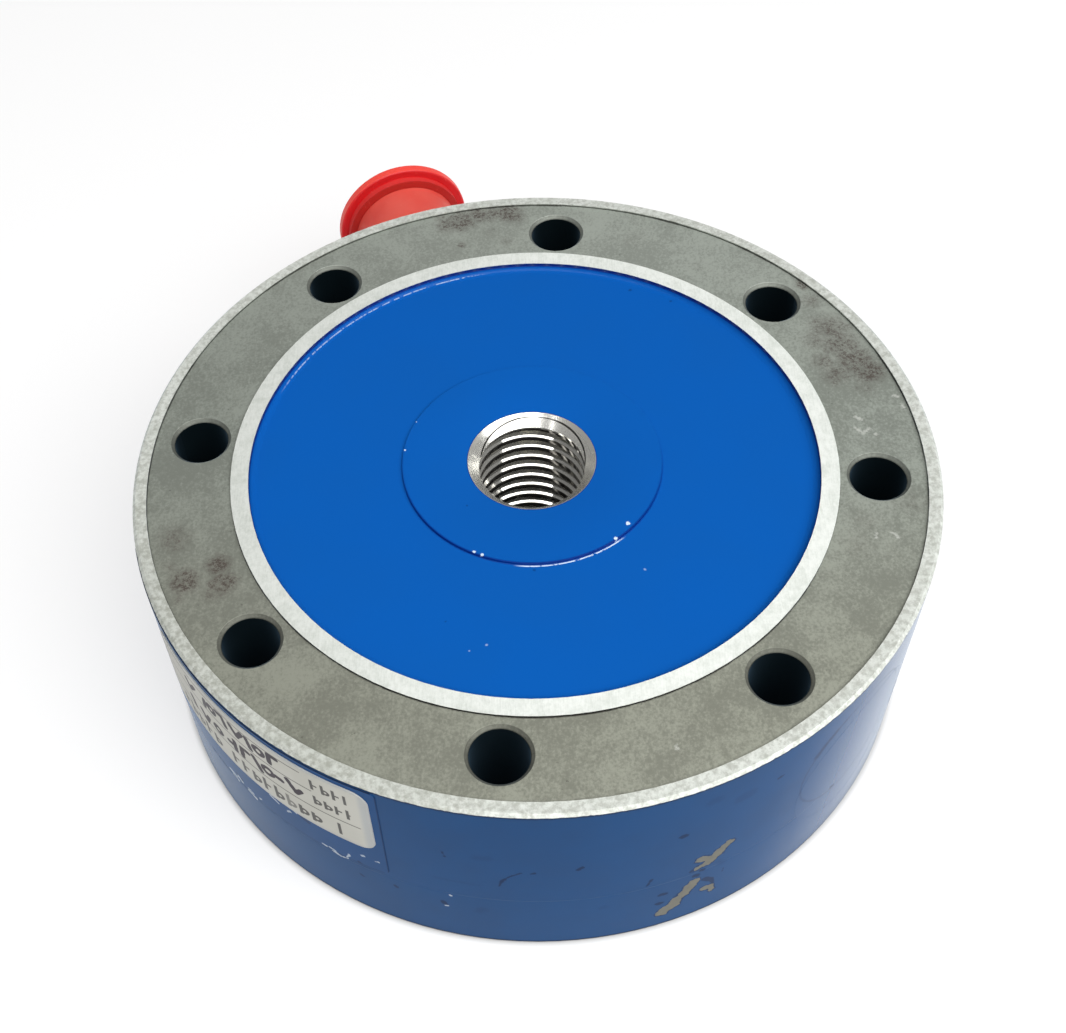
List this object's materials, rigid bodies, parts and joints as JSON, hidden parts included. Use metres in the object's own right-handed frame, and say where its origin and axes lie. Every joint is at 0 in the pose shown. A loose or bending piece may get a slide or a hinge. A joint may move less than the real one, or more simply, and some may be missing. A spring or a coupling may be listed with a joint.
{
  "type": "low-profile load cell",
  "caption": "Flat round load cell with a ground bolting face, a threaded hub on a painted diaphragm, and a capped side connector; measures axial force.",
  "frame": {"origin": "on the load axis, in the plane of the lower rim face that the cell rests on", "axes": "+Z along the load axis to the bolting face, +Y along the connector"},
  "size_m": [0.1047, 0.1243, 0.0348],
  "materials": {
    "flexure": "gloss blue paint over steel, ground bare lands",
    "diaphragm": "gloss blue paint over thin steel",
    "gauge_foil": "amber film with metal foil",
    "terminal": "tinned copper pads",
    "wire": "insulated wire",
    "board": "coated circuit board",
    "resistor": "moulded chip",
    "seal": "matte black seal",
    "shell": "plated, satin",
    "insulator": "moulded black insulator",
    "contact": "gold plated",
    "screw": "stainless",
    "cap": "soft translucent red polyethylene",
    "film": "blue film with worn white print",
    "sticker": "white label stock with printed rules"
  },
  "bodies": {
    "cell": {"flexure_body": "flexure", "mounting_diaphragm": "diaphragm", "loading_diaphragm": "diaphragm", "strain_gauges": "gauge_foil", "gauge_terminals": "terminal", "bridge_wiring": "wire", "connector_leads": "wire", "trim_board": "board", "trim_resistors": "resistor", "trim_leads": "wire", "port_gasket": "seal", "port_plug": "flexure", "connector_gasket": "seal", "connector_shell": "shell", "connector_insert": "insulator", "connector_pins": "contact", "flange_screws": "screw", "nameplate_film": "film", "calibration_sticker": "sticker"},
    "cap": {"dust_cap": "cap"}
  },
  "joints": [
    {"name": "dust_cap_pull", "type": "slide", "parent": "cell", "child": "cap", "axis": [0, 1, 0], "range_m": [0, 0.018]}
  ]
}
